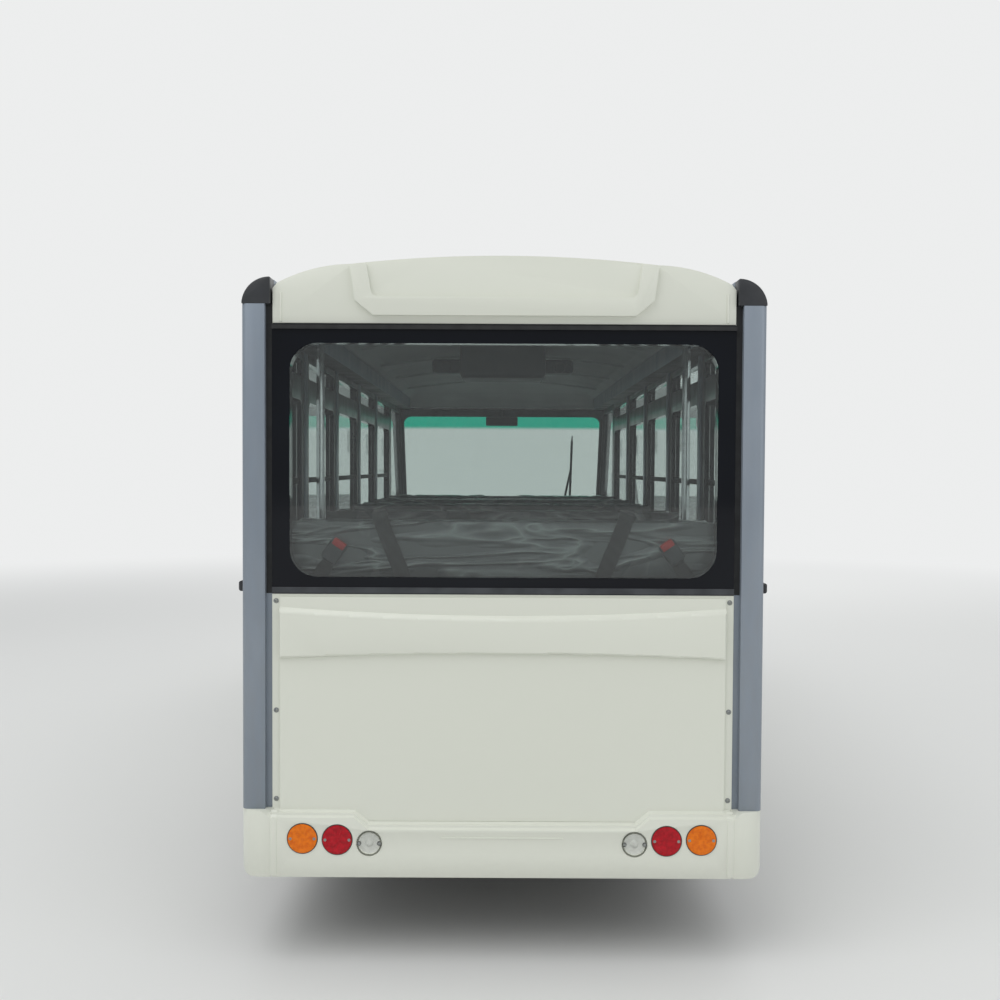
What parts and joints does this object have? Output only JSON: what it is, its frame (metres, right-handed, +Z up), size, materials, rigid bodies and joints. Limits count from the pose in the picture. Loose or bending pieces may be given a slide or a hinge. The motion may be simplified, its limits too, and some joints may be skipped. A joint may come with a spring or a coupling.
{
  "type": "electric sightseeing shuttle",
  "caption": "Enclosed electric sightseeing shuttle with crowned roof, wide rear window, round rear lamps, rows of bench seats, hinged side doors and steered front wheels.",
  "frame": {"origin": "on the ground under the middle of the vehicle's box", "axes": "+Y points to the front of the vehicle, +X to its right side, +Z up"},
  "size_m": [1.904, 5.16, 2.0359],
  "materials": {
    "off_white_paint": "gloss moulded glass fibre, off-white",
    "door_paint": "off-white skin in a silver grey frame",
    "silver_grey": "satin silver grey coated aluminium",
    "black_moulding": "black moulded plastic with a fine grain",
    "window_band": "gloss black band round the rear window",
    "window_glass": "clear, faintly green safety glass",
    "amber_lens": "amber lens",
    "red_lens": "red lens",
    "clear_lens": "clear lens",
    "chassis_black": "black chassis paint",
    "battery_case": "dark battery case",
    "floor_sheet": "grey ribbed floor covering",
    "wheel_silver": "silver painted steel",
    "tyre_rubber": "black tyre rubber",
    "seat_vinyl": "grained vinyl",
    "seat_shell": "grey moulded shell",
    "polished_rail": "polished stainless tube",
    "cabin_plastic": "dark grey moulded plastic"
  },
  "bodies": {
    "body": {"chassis_frame": "chassis_black", "floor_deck": "floor_sheet", "battery_pack": "battery_case", "front_axle": "chassis_black", "rear_axle": "chassis_black", "leaf_springs": "chassis_black", "tow_eye": "chassis_black", "wheel_arches": "black_moulding", "side_frame": "silver_grey", "pillar_caps": "black_moulding", "roof_shell": "off_white_paint", "roof_rear_cap": "off_white_paint", "rear_window_frame": "window_band", "fixed_windows": "window_glass", "rear_panel": "off_white_paint", "rear_bumper": "off_white_paint", "lamps_amber": "amber_lens", "lamps_red": "red_lens", "lamps_clear": "clear_lens", "front_mask": "off_white_paint", "front_bumper": "off_white_paint", "front_frame": "silver_grey", "mirrors_and_wiper": "black_moulding", "dashboard": "cabin_plastic", "seat_frames": "seat_shell", "seat_pads": "seat_vinyl", "hand_rails": "polished_rail", "ceiling_unit": "cabin_plastic"},
    "tie_rod": {"tie_rod": "chassis_black"},
    "steering_wheel": {"steering_wheel": "cabin_plastic"},
    "knuckle_left": {"knuckle_left": "chassis_black"},
    "wheel_front_left": {"rim_front_left": "wheel_silver", "tyre_front_left": "tyre_rubber"},
    "wheel_rear_left": {"rim_rear_left": "wheel_silver", "tyre_rear_left": "tyre_rubber"},
    "door_left_1": {"door_left_1": "door_paint", "door_glass_left_1": "window_glass"},
    "door_left_2": {"door_left_2": "door_paint", "door_glass_left_2": "window_glass"},
    "door_left_3": {"door_left_3": "door_paint", "door_glass_left_3": "window_glass"},
    "door_left_4": {"door_left_4": "door_paint", "door_glass_left_4": "window_glass"},
    "door_left_5": {"door_left_5": "door_paint", "door_glass_left_5": "window_glass"},
    "knuckle_right": {"knuckle_right": "chassis_black"},
    "wheel_front_right": {"rim_front_right": "wheel_silver", "tyre_front_right": "tyre_rubber"},
    "wheel_rear_right": {"rim_rear_right": "wheel_silver", "tyre_rear_right": "tyre_rubber"},
    "door_right_1": {"door_right_1": "door_paint", "door_glass_right_1": "window_glass"},
    "door_right_2": {"door_right_2": "door_paint", "door_glass_right_2": "window_glass"},
    "door_right_3": {"door_right_3": "door_paint", "door_glass_right_3": "window_glass"},
    "door_right_4": {"door_right_4": "door_paint", "door_glass_right_4": "window_glass"},
    "door_right_5": {"door_right_5": "door_paint", "door_glass_right_5": "window_glass"}
  },
  "joints": [
    {"name": "steer_left", "type": "hinge", "parent": "body", "child": "knuckle_left", "pos_m": [-0.545, 1.67, 0.2805], "axis": [0, 0, 1], "range_deg": [-26, 26]},
    {"name": "roll_front_left", "type": "hinge", "parent": "knuckle_left", "child": "wheel_front_left", "pos_m": [-0.655, 1.67, 0.2805], "axis": [-1, 0, 0], "continuous": true},
    {"name": "roll_rear_left", "type": "hinge", "parent": "body", "child": "wheel_rear_left", "pos_m": [-0.655, -1.39, 0.2805], "axis": [-1, 0, 0], "continuous": true},
    {"name": "open_left_1", "type": "hinge", "parent": "body", "child": "door_left_1", "pos_m": [-0.762, 1.2375, 1.18], "axis": [0, 0, -1], "range_deg": [0, 70]},
    {"name": "open_left_2", "type": "hinge", "parent": "body", "child": "door_left_2", "pos_m": [-0.762, 0.4375, 1.18], "axis": [0, 0, -1], "range_deg": [0, 70]},
    {"name": "open_left_3", "type": "hinge", "parent": "body", "child": "door_left_3", "pos_m": [-0.762, -0.3025, 1.18], "axis": [0, 0, -1], "range_deg": [0, 70]},
    {"name": "open_left_4", "type": "hinge", "parent": "body", "child": "door_left_4", "pos_m": [-0.762, -1.0425, 1.18], "axis": [0, 0, -1], "range_deg": [0, 70]},
    {"name": "open_left_5", "type": "hinge", "parent": "body", "child": "door_left_5", "pos_m": [-0.762, -1.7825, 1.18], "axis": [0, 0, -1], "range_deg": [0, 70]},
    {"name": "steer_right", "type": "hinge", "parent": "body", "child": "knuckle_right", "pos_m": [0.545, 1.67, 0.2805], "axis": [0, 0, 1], "range_deg": [-26, 26]},
    {"name": "roll_front_right", "type": "hinge", "parent": "knuckle_right", "child": "wheel_front_right", "pos_m": [0.655, 1.67, 0.2805], "axis": [-1, 0, 0], "continuous": true},
    {"name": "roll_rear_right", "type": "hinge", "parent": "body", "child": "wheel_rear_right", "pos_m": [0.655, -1.39, 0.2805], "axis": [-1, 0, 0], "continuous": true},
    {"name": "open_right_1", "type": "hinge", "parent": "body", "child": "door_right_1", "pos_m": [0.762, 1.2375, 1.18], "axis": [0, 0, 1], "range_deg": [0, 70]},
    {"name": "open_right_2", "type": "hinge", "parent": "body", "child": "door_right_2", "pos_m": [0.762, 0.4375, 1.18], "axis": [0, 0, 1], "range_deg": [0, 70]},
    {"name": "open_right_3", "type": "hinge", "parent": "body", "child": "door_right_3", "pos_m": [0.762, -0.3025, 1.18], "axis": [0, 0, 1], "range_deg": [0, 70]},
    {"name": "open_right_4", "type": "hinge", "parent": "body", "child": "door_right_4", "pos_m": [0.762, -1.0425, 1.18], "axis": [0, 0, 1], "range_deg": [0, 70]},
    {"name": "open_right_5", "type": "hinge", "parent": "body", "child": "door_right_5", "pos_m": [0.762, -1.7825, 1.18], "axis": [0, 0, 1], "range_deg": [0, 70]},
    {"name": "turn_tie_rod", "type": "hinge", "parent": "knuckle_left", "child": "tie_rod", "pos_m": [-0.545, 1.552, 0.203], "axis": [0, 0, 1], "range_deg": [-26, 26]},
    {"name": "turn_steering_wheel", "type": "hinge", "parent": "body", "child": "steering_wheel", "pos_m": [-0.3525, 1.215, 1.035], "axis": [0, 0.848, -0.5299], "range_deg": [-416, 416]}
  ],
  "couplings": [
    {"joint": "steer_right", "follows": "steer_left", "ratio": 1},
    {"joint": "turn_tie_rod", "follows": "steer_left", "ratio": -1},
    {"joint": "turn_steering_wheel", "follows": "steer_left", "ratio": -16}
  ]
}
